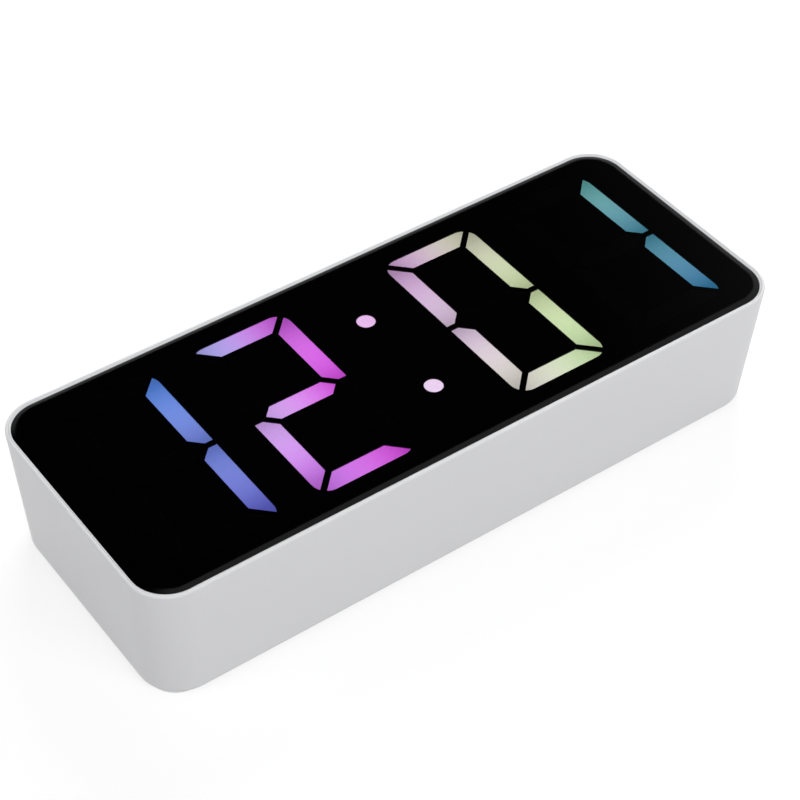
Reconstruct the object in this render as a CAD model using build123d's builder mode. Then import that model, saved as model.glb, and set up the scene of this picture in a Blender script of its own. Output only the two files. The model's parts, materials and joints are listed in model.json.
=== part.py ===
from build123d import *
import os
from math import radians, sqrt, tan

os.makedirs("parts", exist_ok=True)

# A digital LED desk clock, in millimetres, lying on its back with the display up.
# +X is the display's right, +Y the top of its digits and +Z its outward normal.
# The origin is the middle of the back face. The case is sized from the inside out:
# its width from the digits and the screw posts beside them, its height from the digits,
# and its depth from the battery cells and the layers of the display.

# Digits
digit_width = 22.3
digit_height = 46.8
digit_corner = 3.4
stroke = 4.3
segment_gap = 1.27
digit_pitch = 30.75
colon_pitch = 46.7
colon_spread = 22.8
colon_dot_radius = 1.95

# Case
case_draft = 3.0
corner_radius = 8.6
top_band = 5.25
wall = 2.2
back_wall = 2.2
back_edge_radius = 1.5
rim_width = 0.62
rim_edge_radius = 0.42

# Window and the layers glued under it
lens_recess = 0.05
lens_thickness = 0.8
lens_bevel_width = 1.1
lens_bevel_depth = 0.27
lens_bevel_softness = 2.5
lens_gap = 0.04
lip_width = 0.38
lip_drop = 0.05
lip_slope_width = 0.33
lip_slope_depth = 0.3
frame_gap = 0.08
mask_thickness = 0.15
mask_margin = 0.3
tape_thickness = 0.15
tape_width = 2.0
frame_floor = 1.2

# Light block behind the digits
reflector_border = 1.1
reflector_depth = 8.05
reflector_corner = 1.5
reflector_gap = 0.1
window_clearance = 0.6
plug_thickness = 1.5

# Display board
board_thickness = 1.6
board_corner = 1.0
ear_reach = 4.9
ear_height = 24.0
ear_boss_radius = 2.2
ear_boss_spread = 16.0
led_length = 2.0
led_width = 1.3
led_height = 0.8
led_spacing = 8.0
dot_led_length = 1.3
driver_length = 17.9
driver_width = 7.5
driver_height = 1.5
driver_spacing = 44.0
driver_lead_reach = 1.4
driver_lead_width = 0.45
driver_lead_thickness = 0.3
driver_lead_pitch = 1.27
driver_lead_count = 14

# Screws and their posts
corner_post_inset = 9.75
corner_post_radius = 3.2
corner_post_height = 12.0
frame_post_radius = 2.5
frame_post_gap = 0.25
frame_post_wall_gap = 0.27
screw_shank_radius = 1.0
screw_head_radius = 2.2
screw_head_height = 1.5
screw_length = 9.0
screw_slot_width = 0.6
screw_slot_depth = 0.7
pilot_clearance = 0.05
pilot_spare = 1.0
shank_clearance = 0.35
head_clearance = 0.4
post_seat = 2.0
board_screw_shank_radius = 0.8
board_screw_head_radius = 1.6
board_screw_head_height = 1.1
board_screw_length = 5.5

# Main board, and its posts from its edges
main_board_well_gap = 2.1
main_board_post_gap = 0.9
main_board_top_gap = 7.25
main_board_bottom_gap = 6.25
board_post_radius = 2.6
board_post_from_left = 16.0
board_post_from_right = 3.5
board_post_from_top = 3.0

# Back buttons and the bay they sit in
button_pitch = 11.0
button_row_from_right = 28.5
button_row_from_top = 13.5
button_radius = 3.0
button_gap = 0.2
button_edge_radius = 0.4
button_shy = 0.4
button_travel = 0.4
button_flange_radius = 4.0
button_flange_thickness = 0.8
button_flange_gap = 0.2
bay_length = 47.0
bay_height = 12.0
bay_depth = 1.2
bay_corner = 3.0
bay_floor = 2.2

# Push switches
switch_size = 6.0
switch_height = 3.5
switch_stop_gap = 0.3
plunger_radius = 1.75
plunger_gap = 0.05
plunger_seat = 0.9
plunger_entry = 0.8

# Snooze key on the top side, over a switch on the main board
snooze_from_left = 8.0
snooze_length = 44.0
snooze_width = 8.0
snooze_corner = 2.5
snooze_gap = 0.25
snooze_rise = 0.35
snooze_edge_radius = 0.5
snooze_travel = 0.5
snooze_flange_border = 1.5
snooze_flange_thickness = 1.0
snooze_flange_gap = 0.4
snooze_hub_radius = 2.8
snooze_hub_seat = 1.2

# Power inlet
inlet_from_right = 15.0
inlet_from_bottom = 13.5
inlet_width = 8.94
inlet_height = 3.26
inlet_shell = 0.3
inlet_recess = 0.5
inlet_gap = 0.25
inlet_floor = 1.5
tongue_width = 6.7
tongue_thickness = 0.7
tongue_setback = 1.0

# Buzzer and the slots over it
buzzer_from_right = 40.0
buzzer_from_bottom = 13.0
buzzer_radius = 6.0
buzzer_height = 5.4
buzzer_mouth_radius = 1.0
buzzer_mouth_depth = 2.0
sound_slot_count = 5
sound_slot_pitch = 2.4
sound_slot_length = 9.0
sound_slot_width = 1.1

# Parts on the front side of the main board
chip_size = 9.0
chip_height = 1.4
chip_from_left = 30.0
chip_from_bottom = 23.5
chip_lead_reach = 1.0
chip_lead_width = 0.3
chip_lead_pitch = 0.8
chip_lead_count = 10
crystal_length = 8.0
crystal_radius = 1.5
crystal_from_left = 42.0
crystal_from_bottom = 26.5
capacitor_radius = 3.15
capacitor_height = 5.4
capacitor_base = 0.8
capacitor_from_right = 13.0
capacitor_from_bottom = 25.5

# Connector between the two boards
connector_from_right = 25.0
connector_from_bottom = 4.9
pin_count = 10
pin_pitch = 2.54
pin_size = 0.64
pin_hole_size = 0.74
pin_engagement = 5.0
connector_width = 2.5
header_height = 2.5

# Battery well, cells, contacts, lead and door
cell_radius = 5.25
cell_length = 44.5
cell_nub_radius = 1.9
cell_nub_height = 0.8
cell_gap = 0.4
spring_length = 4.6
spring_wire_radius = 0.3
spring_coil_radius = 2.8
spring_turns = 3.0
contact_thickness = 0.4
contact_width = 8.0
contact_tail_width = 2.0
contact_tail_lap = 1.0
well_post_gap = 0.8
well_wall = 2.4
well_roof = 1.5
well_clearance = 0.3
lead_radius = 0.6
lead_bend = 2.0
lead_gap = 0.3
lead_out = 2.2
lead_rise = 1.3
lead_chip_gap = 0.7
lead_end_inset = 2.5
door_thickness = 1.6
door_ledge = 1.4
door_gap = 0.25
door_shy = 0.15
door_tab_spread = 20.0
door_tab_width = 6.0
door_tab_reach = 1.1
door_tab_thickness = 0.9
door_tab_rise = 1.0
door_tab_space = 0.3
door_rib_width = 1.0
door_rib_height = 0.6
latch_width = 11.0
latch_length = 7.0
latch_slit = 0.8
grip_count = 3
grip_pitch = 1.6
grip_width = 0.6
grip_depth = 0.3
finger_notch_radius = 6.0
finger_notch_depth = 1.2

# Heights behind the display, from the back face up
lean = tan(radians(case_draft))
bay_inner_z = bay_depth + bay_floor
flange_outer_z = bay_inner_z + button_flange_gap
flange_inner_z = flange_outer_z + button_flange_thickness
switch_face_z = flange_inner_z + button_travel + switch_stop_gap
switch_bore_depth = plunger_entry + snooze_travel + switch_stop_gap
main_board_rise = switch_face_z + switch_height
main_board_front = main_board_rise + board_thickness
snooze_height = main_board_front + switch_size / 2
cell_axis_z = door_shy + door_thickness + door_rib_height + well_clearance + cell_radius
well_roof_z = cell_axis_z + cell_radius + well_clearance
lead_top_z = well_roof_z + well_roof + lead_rise
display_board_z = lead_top_z + lead_radius + lead_chip_gap + driver_height

# Heights of the display's layers
reflector_back = display_board_z + board_thickness
reflector_front = reflector_back + reflector_depth
plug_z = reflector_front - plug_thickness
tape_top = reflector_front + reflector_gap
mask_top = tape_top + mask_thickness
lens_top = mask_top + lens_thickness
case_depth = lens_top + lens_recess
lip_top = case_depth - lip_drop
ledge_z = tape_top - tape_thickness
frame_seat = ledge_z - frame_floor

# Plan sizes, from the digits outwards
reflector_width = colon_pitch + 2 * digit_pitch + digit_width + 2 * reflector_border
reflector_height = digit_height + 2 * reflector_border
window_width = reflector_width + 2 * window_clearance
window_height = reflector_height + 2 * window_clearance
window_corner = reflector_corner + window_clearance
ear_boss_x = reflector_width / 2 + ear_reach / 2
corner_post_x = reflector_width / 2 + frame_post_gap + frame_post_radius
post_wall_x = corner_post_x + frame_post_radius + frame_post_wall_gap
case_width = 2 * (post_wall_x + wall + lean * (case_depth - corner_post_height))
case_height = reflector_height + 2 * top_band
corner_post_y = case_height / 2 - corner_post_inset
lens_inset = rim_width + frame_gap + lip_width + lens_gap
lens_width = case_width - 2 * lens_inset
lens_height = case_height - 2 * lens_inset
lens_corner = corner_radius - lens_inset
film_width = lens_width - 2 * mask_margin
film_height = lens_height - 2 * mask_margin
film_corner = lens_corner - mask_margin

# Battery well, from the left corner posts inwards, one row for each cell
cell_turns = [1, -1, 1]
cell_pitch = 2 * cell_radius + cell_gap
cell_rows = [cell_pitch, 0, -cell_pitch]
well_length = cell_length + spring_length + 2 * contact_thickness + well_clearance
well_height = len(cell_rows) * cell_pitch + cell_gap
well_left = -corner_post_x + corner_post_radius + well_post_gap + well_wall
well_right = well_left + well_length
pocket_left = well_left - door_ledge
pocket_right = well_right + door_ledge
pocket_height = well_height + 2 * door_ledge
pocket_depth = door_shy + door_thickness + door_gap
door_left = pocket_left + door_gap
door_right = pocket_right - door_gap
door_height = pocket_height - 2 * door_gap
door_inner_z = door_shy + door_thickness

# Main board and the places on it
main_board_left = well_right + well_wall + main_board_well_gap
main_board_right = corner_post_x - corner_post_radius - main_board_post_gap
main_board_top = case_height / 2 - main_board_top_gap
main_board_bottom = -case_height / 2 + main_board_bottom_gap
main_board_middle = ((main_board_left + main_board_right) / 2, (main_board_top + main_board_bottom) / 2)
button_row_x = main_board_right - button_row_from_right
button_row_y = main_board_top - button_row_from_top
inlet_place = (main_board_right - inlet_from_right, main_board_bottom + inlet_from_bottom)
buzzer_place = (main_board_right - buzzer_from_right, main_board_bottom + buzzer_from_bottom)
chip_place = (main_board_left + chip_from_left, main_board_bottom + chip_from_bottom)
capacitor_place = (main_board_right - capacitor_from_right, main_board_bottom + capacitor_from_bottom)
connector_place = (main_board_right - connector_from_right, main_board_bottom + connector_from_bottom)
crystal_left = main_board_left + crystal_from_left - crystal_length / 2
crystal_y = main_board_bottom + crystal_from_bottom
board_post_left = main_board_left + board_post_from_left
board_post_right = main_board_right - board_post_from_right
board_post_y = main_board_top - board_post_from_top

# Snooze key, from the leaning top side inwards
snooze_x = main_board_left + snooze_from_left
snooze_outer_y = case_height / 2 - lean * (case_depth - snooze_height) + snooze_rise
snooze_flange_width = snooze_width + 2 * snooze_flange_border
snooze_flange_low_z = snooze_height - snooze_flange_width / 2
snooze_flange_y = case_height / 2 - lean * (case_depth - snooze_flange_low_z) - wall - snooze_flange_gap
hub_end_y = main_board_top + snooze_travel + switch_stop_gap

# Places that several pieces share
board_pilot_depth = board_screw_length - board_thickness + pilot_spare
digit_centres = {
    "hour_tens": -colon_pitch / 2 - digit_pitch,
    "hour_units": -colon_pitch / 2,
    "minute_tens": colon_pitch / 2,
    "minute_units": colon_pitch / 2 + digit_pitch,
}
lit_letters = {
    "hour_tens": "bc",
    "hour_units": "abged",
    "minute_tens": "abcdef",
    "minute_units": "bc",
}
all_letters = "abcdefg"
button_names = ["set", "alarm", "up", "down"]
button_places = {
    name: button_row_x + (index - (len(button_names) - 1) / 2) * button_pitch
    for index, name in enumerate(button_names)
}
sides = (-1, 1)
corner_posts = [(x * corner_post_x, y * corner_post_y) for x in sides for y in sides]
ear_posts = [(x * ear_boss_x, y * ear_boss_spread / 2) for x in sides for y in sides]
board_posts = [(x, y * board_post_y) for x in (board_post_left, board_post_right) for y in sides]


def case_block(low, high, inset):
    """A block between two heights, with sides that lean like the outside of the case, drawn in by inset."""
    shrink = 2 * (lean * (case_depth - high) + inset)
    with BuildPart(mode=Mode.PRIVATE) as block:
        with BuildSketch(Plane.XY.offset(high)):
            Rectangle(case_width - shrink, case_height - shrink)
        extrude(amount=low - high)
        draft(block.faces().filter_by(Axis.Z, reverse=True), Plane.XY.offset(high), -case_draft)
        fillet(block.edges().filter_by(Plane.XY, reverse=True), corner_radius - inset)
    return block.part


def segment_outline(letter):
    """Corners of one segment about the digit's middle, a at the top and on clockwise to f, g across."""
    half_width = digit_width / 2
    half_height = digit_height / 2
    inner = half_width - stroke
    slant = segment_gap / sqrt(2)
    if letter in "ad":
        corners = [
            (-half_width + slant, half_height),
            (-inner + slant, half_height - stroke),
            (inner - slant, half_height - stroke),
            (half_width - slant, half_height),
        ]
    elif letter == "g":
        tip = half_width - stroke / 2 - slant
        corners = [
            (-tip, 0),
            (-tip + stroke / 2, -stroke / 2),
            (tip - stroke / 2, -stroke / 2),
            (tip, 0),
            (tip - stroke / 2, stroke / 2),
            (-tip + stroke / 2, stroke / 2),
        ]
    else:
        corners = [
            (half_width, half_height - slant),
            (inner, half_height - stroke - slant),
            (inner, stroke / 2 + slant),
            (half_width - stroke / 2 + slant - segment_gap / 2, segment_gap / 2),
            (half_width, segment_gap / 2),
        ]
    side = -1 if letter in "ef" else 1
    level = -1 if letter in "cde" else 1
    corners = [(side * x, level * y) for x, y in corners]
    return corners if side * level > 0 else corners[::-1]


def digit_face(letters):
    """Flat faces of the given segments of one digit, with the digit's outer corners rounded."""
    with BuildSketch(mode=Mode.PRIVATE) as digit:
        for letter in letters:
            Polygon(*segment_outline(letter), align=None)
        RectangleRounded(digit_width, digit_height, digit_corner, mode=Mode.INTERSECT)
    return digit.sketch


def dark_letters(place):
    """The segments of a digit that stay dark at the shown time."""
    return "".join(letter for letter in all_letters if letter not in lit_letters[place])


def all_windows():
    """Every segment and colon dot, drawn into the sketch that is open."""
    for centre in digit_centres.values():
        with Locations((centre, 0)):
            add(digit_face(all_letters))
    with GridLocations(0, colon_spread, 1, 2):
        Circle(colon_dot_radius)


# Housing: one moulded tub whose walls lean in towards its back
with BuildPart() as housing:
    add(case_block(0, case_depth, 0))
    fillet(housing.faces().sort_by(Axis.Z)[0].edges(), back_edge_radius)
    fillet(housing.faces().sort_by(Axis.Z)[-1].edges(), rim_edge_radius)
    # Cavity up to the shelf that the front frame sits on, and the mouth above it
    add(case_block(back_wall, frame_seat, wall), mode=Mode.SUBTRACT)
    add(case_block(frame_seat, case_depth, rim_width), mode=Mode.SUBTRACT)
    # Battery well, corner posts, board posts and the thicker floor behind the button bay
    with BuildSketch(Plane.XY.offset(back_wall)):
        with Locations((well_left - well_wall, 0)):
            Rectangle(
                well_length + 2 * well_wall, well_height + 2 * well_wall, align=(Align.MIN, Align.CENTER)
            )
    extrude(amount=well_roof_z + well_roof - back_wall)
    with BuildSketch(Plane.XY.offset(back_wall)):
        with Locations(*corner_posts):
            Circle(corner_post_radius)
    extrude(amount=corner_post_height - back_wall)
    with BuildSketch(Plane.XY.offset(back_wall)):
        with Locations(*board_posts):
            Circle(board_post_radius)
    extrude(amount=main_board_rise - back_wall)
    with BuildSketch(Plane.XY.offset(back_wall)):
        with Locations((button_row_x, button_row_y)):
            RectangleRounded(bay_length, bay_height, bay_corner)
    extrude(amount=bay_inner_z - back_wall)
    # Openings cut from the back
    with BuildSketch(Plane.XY):
        with Locations((well_left, 0)):
            Rectangle(well_length, well_height, align=(Align.MIN, Align.CENTER))
    extrude(amount=well_roof_z, mode=Mode.SUBTRACT)
    with BuildSketch(Plane.XY):
        with Locations((pocket_left, 0)):
            Rectangle(pocket_right - pocket_left, pocket_height, align=(Align.MIN, Align.CENTER))
    extrude(amount=pocket_depth, mode=Mode.SUBTRACT)
    with BuildSketch(Plane.XY.offset(door_tab_rise - door_tab_space)):
        for side in sides:
            with Locations((pocket_left, side * door_tab_spread / 2)):
                Rectangle(2 * (door_tab_reach + door_tab_space), door_tab_width + 2 * door_tab_space)
    extrude(amount=back_wall + door_tab_thickness, mode=Mode.SUBTRACT)
    with BuildSketch(Plane.XY):
        with Locations((pocket_right, 0)):
            Circle(finger_notch_radius)
    extrude(amount=finger_notch_depth, mode=Mode.SUBTRACT)
    with BuildSketch(Plane.XY):
        with Locations((button_row_x, button_row_y)):
            RectangleRounded(bay_length, bay_height, bay_corner)
    extrude(amount=bay_depth, mode=Mode.SUBTRACT)
    with BuildSketch(Plane.XY):
        for x in button_places.values():
            with Locations((x, button_row_y)):
                Circle(button_radius + button_gap)
        with Locations(inlet_place):
            SlotOverall(inlet_width + 2 * inlet_gap, inlet_height + 2 * inlet_gap)
        with Locations(buzzer_place):
            with GridLocations(sound_slot_pitch, 0, sound_slot_count, 1):
                SlotOverall(sound_slot_length, sound_slot_width, rotation=90)
    extrude(amount=bay_inner_z, mode=Mode.SUBTRACT)
    # Slot for the snooze key in the top side
    with BuildSketch(Plane.XZ.offset(-case_height / 2)):
        with Locations((snooze_x, snooze_height)):
            RectangleRounded(
                snooze_length + 2 * snooze_gap, snooze_width + 2 * snooze_gap, snooze_corner + snooze_gap
            )
    extrude(amount=case_height / 2 - snooze_flange_y, mode=Mode.SUBTRACT)
    # Slots for the battery contact tail and lead
    with BuildSketch(Plane.YZ.offset(well_right)):
        with Locations((-cell_pitch, main_board_rise - contact_thickness / 2)):
            Rectangle(contact_tail_width + lead_gap, contact_thickness + lead_gap)
    extrude(amount=well_wall, mode=Mode.SUBTRACT)
    with BuildSketch(Plane.YZ.offset(well_left)):
        with Locations((cell_pitch, cell_axis_z)):
            Circle(lead_radius + lead_gap)
    extrude(amount=-well_wall, mode=Mode.SUBTRACT)
    # Screw holes from the back, deep enough to sink the heads
    for x, y in corner_posts:
        with Locations(Location((x, y, 0), (180, 0, 0))):
            CounterBoreHole(
                screw_shank_radius + shank_clearance,
                screw_head_radius + head_clearance,
                corner_post_height - post_seat,
            )
    for x, y in board_posts:
        with Locations(Location((x, y, main_board_rise))):
            Hole(board_screw_shank_radius + pilot_clearance, board_pilot_depth)
housing.part.label = "housing"
export_step(housing.part, "parts/housing.step")

# Front frame: a tray that drops into the rim and carries the window and the display. Its lip
# slopes down to the window
with BuildPart() as front_frame:
    add(case_block(frame_seat, lip_top, rim_width + frame_gap))
    with BuildSketch(Plane.XY.offset(ledge_z)):
        RectangleRounded(lens_width + 2 * lens_gap, lens_height + 2 * lens_gap, lens_corner + lens_gap)
    extrude(amount=lip_top - ledge_z, mode=Mode.SUBTRACT)
    lip_face = front_frame.faces().sort_by(Axis.Z)[-1]
    chamfer(lip_face.inner_wires()[0].edges(), lip_slope_width, lip_slope_depth, reference=lip_face)
    with BuildSketch(Plane.XY.offset(frame_seat)):
        with Locations(*ear_posts):
            Circle(ear_boss_radius)
    extrude(amount=reflector_back - frame_seat)
    with BuildSketch(Plane.XY.offset(frame_seat)):
        with Locations(*corner_posts):
            Circle(frame_post_radius)
    extrude(amount=corner_post_height - frame_seat)
    with BuildSketch(Plane.XY.offset(frame_seat)):
        RectangleRounded(window_width, window_height, window_corner)
    extrude(amount=frame_floor, mode=Mode.SUBTRACT)
    for x, y in corner_posts:
        with Locations(Location((x, y, corner_post_height), (180, 0, 0))):
            Hole(screw_shank_radius + pilot_clearance, screw_length - post_seat + pilot_spare)
    for x, y in ear_posts:
        with Locations(Location((x, y, reflector_back), (180, 0, 0))):
            Hole(board_screw_shank_radius + pilot_clearance, board_pilot_depth)
front_frame.part.label = "front_frame"
export_step(front_frame.part, "parts/front_frame.step")

# Window: a tinted sheet with a shallow bevel that runs softly into its flat face
with BuildPart() as front_lens:
    with BuildSketch(Plane.XY.offset(mask_top)):
        RectangleRounded(lens_width, lens_height, lens_corner)
    extrude(amount=lens_thickness)
    lens_face = front_lens.faces().sort_by(Axis.Z)[-1]
    chamfer(lens_face.edges(), lens_bevel_width, lens_bevel_depth, reference=lens_face)
    fillet(front_lens.faces().sort_by(Axis.Z)[-1].edges(), lens_bevel_softness)
front_lens.part.label = "front_lens"
export_step(front_lens.part, "parts/front_lens.step")

# Black film on the back of the window, clear only at the segments and dots
with BuildPart() as segment_mask:
    with BuildSketch(Plane.XY.offset(tape_top)):
        RectangleRounded(film_width, film_height, film_corner)
    extrude(amount=mask_thickness)
    with BuildSketch(Plane.XY.offset(tape_top)):
        all_windows()
    extrude(amount=mask_thickness, mode=Mode.SUBTRACT)
segment_mask.part.label = "segment_mask"
export_step(segment_mask.part, "parts/segment_mask.step")

# Adhesive ring between the film and the frame's ledge
with BuildPart() as lens_tape:
    with BuildSketch(Plane.XY.offset(ledge_z)):
        RectangleRounded(film_width, film_height, film_corner)
        RectangleRounded(
            film_width - 2 * tape_width, film_height - 2 * tape_width, film_corner - tape_width,
            mode=Mode.SUBTRACT,
        )
    extrude(amount=tape_thickness)
lens_tape.part.label = "lens_tape"
export_step(lens_tape.part, "parts/lens_tape.step")

# White block with one light well behind each segment and dot
with BuildPart() as segment_reflector:
    with BuildSketch(Plane.XY.offset(reflector_back)):
        RectangleRounded(reflector_width, reflector_height, reflector_corner)
    extrude(amount=reflector_depth)
    with BuildSketch(Plane.XY.offset(reflector_back)):
        all_windows()
    extrude(amount=reflector_depth, mode=Mode.SUBTRACT)
segment_reflector.part.label = "segment_reflector"
export_step(segment_reflector.part, "parts/segment_reflector.step")

# Diffusing plugs in the mouths of the wells, lit and dark ones of each digit apart
for place, centre in digit_centres.items():
    with BuildPart() as lit_plugs:
        with BuildSketch(Plane.XY.offset(plug_z)):
            with Locations((centre, 0)):
                add(digit_face(lit_letters[place]))
        extrude(amount=plug_thickness)
    lit_plugs.part.label = place + "_lit_segments"
    export_step(lit_plugs.part, "parts/" + place + "_lit_segments.step")

    with BuildPart() as dark_plugs:
        with BuildSketch(Plane.XY.offset(plug_z)):
            with Locations((centre, 0)):
                add(digit_face(dark_letters(place)))
        extrude(amount=plug_thickness)
    dark_plugs.part.label = place + "_dark_segments"
    export_step(dark_plugs.part, "parts/" + place + "_dark_segments.step")

with BuildPart() as colon_dots:
    with BuildSketch(Plane.XY.offset(plug_z)):
        with GridLocations(0, colon_spread, 1, 2):
            Circle(colon_dot_radius)
    extrude(amount=plug_thickness)
colon_dots.part.label = "colon_dots"
export_step(colon_dots.part, "parts/colon_dots.step")

# Display board, held under the frame by its two ears
with BuildPart() as display_board:
    with BuildSketch(Plane.XY.offset(display_board_z)):
        RectangleRounded(reflector_width, reflector_height, board_corner)
        RectangleRounded(reflector_width + 2 * ear_reach, ear_height, board_corner)
        with Locations(*ear_posts):
            Circle(board_screw_shank_radius + shank_clearance, mode=Mode.SUBTRACT)
    extrude(amount=board_thickness)
display_board.part.label = "display_board"
export_step(display_board.part, "parts/display_board.step")


def led_places():
    """Two lamps along every segment: those of the level segments first, then those of the upright ones."""
    reach = led_spacing / 2
    side = digit_width / 2 - stroke / 2
    level = digit_height / 2 - stroke / 2
    lying = []
    upright = []
    for centre in digit_centres.values():
        for along in (-reach, reach):
            lying += [(centre + along, y) for y in (-level, 0, level)]
            upright += [(centre + x, y + along) for x in (-side, side) for y in (-level / 2, level / 2)]
    return lying, upright


level_leds, upright_leds = led_places()
with BuildPart() as segment_leds:
    with BuildSketch(Plane.XY.offset(reflector_back)):
        with Locations(*level_leds):
            Rectangle(led_length, led_width)
        with Locations(*upright_leds):
            Rectangle(led_width, led_length)
        with GridLocations(0, colon_spread, 1, 2):
            Rectangle(dot_led_length, led_width)
    extrude(amount=led_height)
segment_leds.part.label = "segment_leds"
export_step(segment_leds.part, "parts/segment_leds.step")

# Driver chips on the back of the display board, each body with two rows of leads
with BuildPart() as driver_chips:
    with BuildSketch(Plane.XY.offset(display_board_z)):
        with GridLocations(driver_spacing, 0, 2, 1):
            Rectangle(driver_length, driver_width)
    extrude(amount=-driver_height)
    with BuildSketch(Plane.XY.offset(display_board_z)):
        with GridLocations(driver_spacing, 0, 2, 1):
            with GridLocations(driver_lead_pitch, 0, driver_lead_count, 1):
                Rectangle(driver_lead_width, driver_width + 2 * driver_lead_reach)
    extrude(amount=-driver_lead_thickness)
driver_chips.part.label = "driver_chips"
export_step(driver_chips.part, "parts/driver_chips.step")

# Main board on the posts of the back wall
with BuildPart() as main_board:
    with BuildSketch(Plane.XY.offset(main_board_rise)):
        with Locations(main_board_middle):
            RectangleRounded(
                main_board_right - main_board_left, main_board_top - main_board_bottom, board_corner
            )
        with Locations(*board_posts):
            Circle(board_screw_shank_radius + shank_clearance, mode=Mode.SUBTRACT)
    extrude(amount=board_thickness)
main_board.part.label = "main_board"
export_step(main_board.part, "parts/main_board.step")

# Controller chip with leads on its four sides
with BuildPart() as clock_chip:
    with BuildSketch(Plane.XY.offset(main_board_front)):
        with Locations(chip_place):
            Rectangle(chip_size, chip_size)
    extrude(amount=chip_height)
    with BuildSketch(Plane.XY.offset(main_board_front)):
        with Locations(chip_place):
            with GridLocations(chip_lead_pitch, 0, chip_lead_count, 1):
                Rectangle(chip_lead_width, chip_size + 2 * chip_lead_reach)
            with GridLocations(0, chip_lead_pitch, 1, chip_lead_count):
                Rectangle(chip_size + 2 * chip_lead_reach, chip_lead_width)
    extrude(amount=driver_lead_thickness)
clock_chip.part.label = "clock_chip"
export_step(clock_chip.part, "parts/clock_chip.step")

with BuildPart() as timing_crystal:
    with BuildSketch(Plane.YZ.offset(crystal_left)):
        with Locations((crystal_y, main_board_front + crystal_radius)):
            Circle(crystal_radius)
    extrude(amount=crystal_length)
timing_crystal.part.label = "timing_crystal"
export_step(timing_crystal.part, "parts/timing_crystal.step")

# Supply capacitor: a can on a square foot
with BuildPart() as supply_capacitor:
    with BuildSketch(Plane.XY.offset(main_board_front)):
        with Locations(capacitor_place):
            Rectangle(2 * capacitor_radius, 2 * capacitor_radius)
    extrude(amount=capacitor_base)
    with BuildSketch(Plane.XY.offset(main_board_front)):
        with Locations(capacitor_place):
            Circle(capacitor_radius)
    extrude(amount=capacitor_height)
supply_capacitor.part.label = "supply_capacitor"
export_step(supply_capacitor.part, "parts/supply_capacitor.step")

# Buzzer under the board, its mouth towards the sound slots
with BuildPart() as buzzer:
    with BuildSketch(Plane.XY.offset(main_board_rise)):
        with Locations(buzzer_place):
            Circle(buzzer_radius)
    extrude(amount=-buzzer_height)
    with BuildSketch(Plane.XY.offset(main_board_rise - buzzer_height)):
        with Locations(buzzer_place):
            Circle(buzzer_mouth_radius)
    extrude(amount=buzzer_mouth_depth, mode=Mode.SUBTRACT)
buzzer.part.label = "buzzer"
export_step(buzzer.part, "parts/buzzer.step")

# Power inlet: a folded metal shell standing on the board, open to the back, round a flat tongue
with BuildPart() as usb_socket:
    with BuildSketch(Plane.XY.offset(inlet_recess)):
        with Locations(inlet_place):
            SlotOverall(inlet_width, inlet_height)
    extrude(amount=main_board_rise - inlet_recess)
    with BuildSketch(Plane.XY.offset(inlet_recess)):
        with Locations(inlet_place):
            SlotOverall(inlet_width - 2 * inlet_shell, inlet_height - 2 * inlet_shell)
    extrude(amount=main_board_rise - inlet_recess - inlet_floor, mode=Mode.SUBTRACT)
usb_socket.part.label = "usb_socket"
export_step(usb_socket.part, "parts/usb_socket.step")

with BuildPart() as usb_tongue:
    with BuildSketch(Plane.XY.offset(inlet_recess + tongue_setback)):
        with Locations(inlet_place):
            Rectangle(tongue_width, tongue_thickness)
    extrude(amount=main_board_rise - inlet_floor - inlet_recess - tongue_setback)
usb_tongue.part.label = "usb_tongue"
export_step(usb_tongue.part, "parts/usb_tongue.step")

# Connector: socket on the main board, header and pins on the display board
with BuildPart() as connector_socket:
    with BuildSketch(Plane.XY.offset(main_board_front)):
        with Locations(connector_place):
            Rectangle(pin_count * pin_pitch, connector_width)
            with GridLocations(pin_pitch, 0, pin_count, 1):
                Rectangle(pin_hole_size, pin_hole_size, mode=Mode.SUBTRACT)
    extrude(amount=display_board_z - header_height - main_board_front)
connector_socket.part.label = "connector_socket"
export_step(connector_socket.part, "parts/connector_socket.step")

with BuildPart() as connector_header:
    with BuildSketch(Plane.XY.offset(display_board_z)):
        with Locations(connector_place):
            Rectangle(pin_count * pin_pitch, connector_width)
            with GridLocations(pin_pitch, 0, pin_count, 1):
                Rectangle(pin_hole_size, pin_hole_size, mode=Mode.SUBTRACT)
    extrude(amount=-header_height)
connector_header.part.label = "connector_header"
export_step(connector_header.part, "parts/connector_header.step")

with BuildPart() as connector_pins:
    with BuildSketch(Plane.XY.offset(display_board_z)):
        with Locations(connector_place):
            with GridLocations(pin_pitch, 0, pin_count, 1):
                Rectangle(pin_size, pin_size)
    extrude(amount=-header_height - pin_engagement)
connector_pins.part.label = "connector_pins"
export_step(connector_pins.part, "parts/connector_pins.step")

# Push switches of the back buttons, on the back of the main board
with BuildPart() as back_button_switches:
    with BuildSketch(Plane.XY.offset(switch_face_z)):
        for x in button_places.values():
            with Locations((x, button_row_y)):
                Rectangle(switch_size, switch_size)
    extrude(amount=switch_height)
    with BuildSketch(Plane.XY.offset(switch_face_z)):
        for x in button_places.values():
            with Locations((x, button_row_y)):
                Circle(plunger_radius + plunger_gap)
    extrude(amount=switch_bore_depth, mode=Mode.SUBTRACT)
back_button_switches.part.label = "back_button_switches"
export_step(back_button_switches.part, "parts/back_button_switches.step")

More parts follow.
